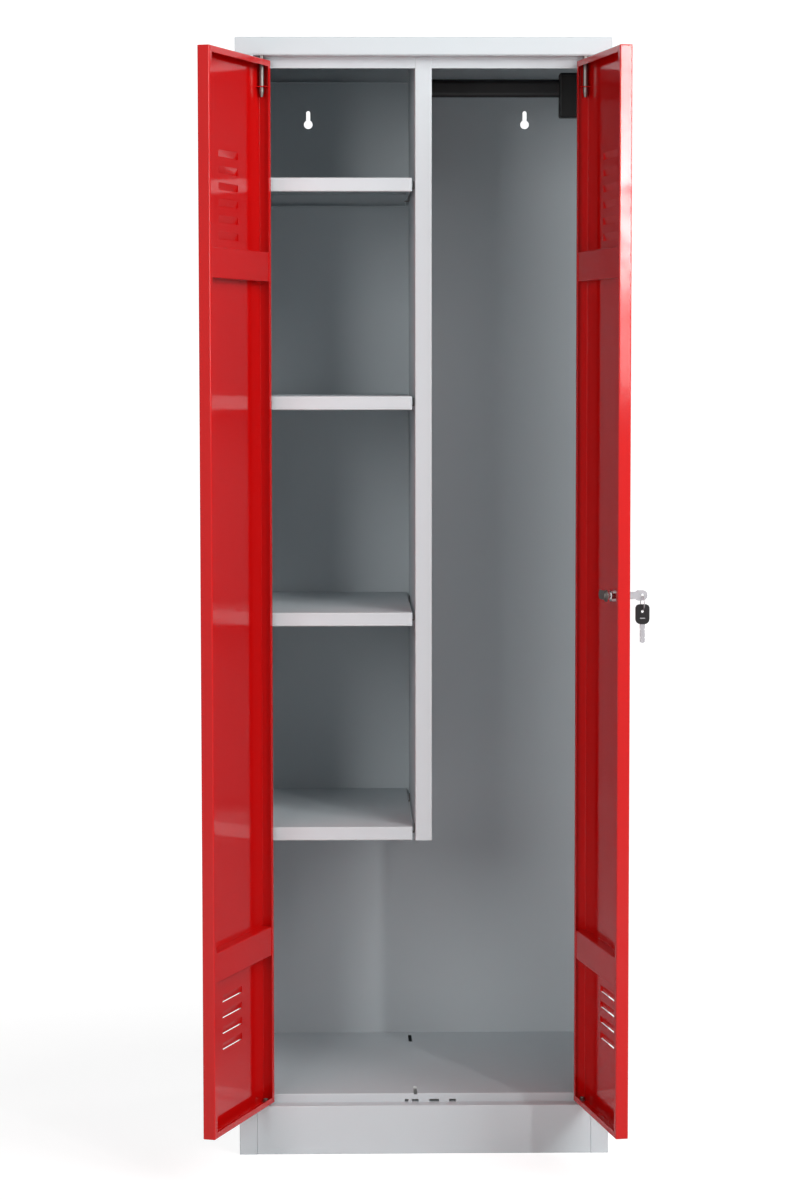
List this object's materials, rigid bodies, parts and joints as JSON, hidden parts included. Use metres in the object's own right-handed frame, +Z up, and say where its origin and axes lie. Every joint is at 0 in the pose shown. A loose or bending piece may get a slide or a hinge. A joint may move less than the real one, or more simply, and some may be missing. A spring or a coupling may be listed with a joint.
{
  "type": "metal locker",
  "caption": "Tall sheet-steel locker with louvred hinged doors, a shelved side, an open hanging bay with a rail, a key-operated cam lock and a plinth.",
  "frame": {"origin": "on the plinth's bottom flange, halfway between the hinge axes of the two doors: X = 0 halves the body's width, Y = 0 is the plane of the hinge axes, 8 mm behind the body's front, Z = 0 the floor", "axes": "+X to the right as seen from the front, +Y to the back, +Z up; the doors stand open at rest, as in the picture"},
  "size_m": [0.6927, 0.7462, 1.8],
  "materials": {
    "body_paint": "fine-textured light grey powder coat",
    "door_paint": "semi-gloss red powder coat",
    "zinc_steel": "bright zinc plate",
    "rail_black": "satin black coating on the oval tube",
    "bracket_black": "black moulded plastic",
    "lock_chrome": "satin chrome plate",
    "key_nickel": "nickel plate",
    "key_plastic": "black moulded plastic"
  },
  "bodies": {
    "carcass": {"left_side": "body_paint", "right_side": "body_paint", "back_panel": "body_paint", "top_cover": "body_paint", "header_rail": "body_paint", "floor_panel": "body_paint", "plinth_front": "body_paint", "partition": "body_paint", "shelf_1": "body_paint", "shelf_2": "body_paint", "shelf_3": "body_paint", "shelf_4": "body_paint", "shelf_clips": "zinc_steel", "hanging_rail": "rail_black", "rail_bracket": "bracket_black", "rail_socket": "bracket_black", "rail_rivets": "zinc_steel", "lower_hinge_pins": "zinc_steel", "pin_washers": "zinc_steel"},
    "left_door_leaf": {"left_door": "door_paint", "left_upper_bar": "door_paint", "left_lower_bar": "door_paint", "left_upper_pin": "zinc_steel", "left_pin_guide": "door_paint"},
    "right_door_leaf": {"right_door": "door_paint", "right_upper_bar": "door_paint", "right_lower_bar": "door_paint", "right_upper_pin": "zinc_steel", "right_pin_guide": "door_paint", "lock_housing": "lock_chrome", "lock_nut": "zinc_steel"},
    "lock": {"lock_plug": "lock_chrome", "lock_cam": "zinc_steel", "cam_screw": "zinc_steel"},
    "key": {"key": "key_nickel"},
    "ring": {"key_ring": "key_nickel"},
    "spare_key": {"spare_key_grip": "key_plastic", "spare_key_blade": "key_nickel"}
  },
  "joints": [
    {"name": "left_door_hinge", "type": "hinge", "parent": "carcass", "child": "left_door_leaf", "pos_m": [-0.2578, 0, 0.08], "axis": [0, 0, -1], "range_deg": [-109, 6]},
    {"name": "right_door_hinge", "type": "hinge", "parent": "carcass", "child": "right_door_leaf", "pos_m": [0.2578, 0, 0.08], "axis": [0, 0, 1], "range_deg": [-100, 15]},
    {"name": "lock_turn", "type": "hinge", "parent": "right_door_leaf", "child": "lock", "pos_m": [0.30237, -0.2067, 0.925], "axis": [-0.9848, -0.1736, 0], "range_deg": [-180, 0]},
    {"name": "key_pull", "type": "slide", "parent": "lock", "child": "key", "axis": [0.9848, 0.1736, 0], "range_m": [0, 0.03]},
    {"name": "ring_swing", "type": "hinge", "parent": "key", "child": "ring", "pos_m": [0.33329, -0.20125, 0.925], "axis": [-0.1736, 0.9848, 0], "range_deg": [-60, 12]},
    {"name": "spare_key_swing", "type": "hinge", "parent": "ring", "child": "spare_key", "pos_m": [0.33329, -0.20125, 0.9002], "axis": [-0.1736, 0.9848, 0], "range_deg": [-60, 10]}
  ]
}
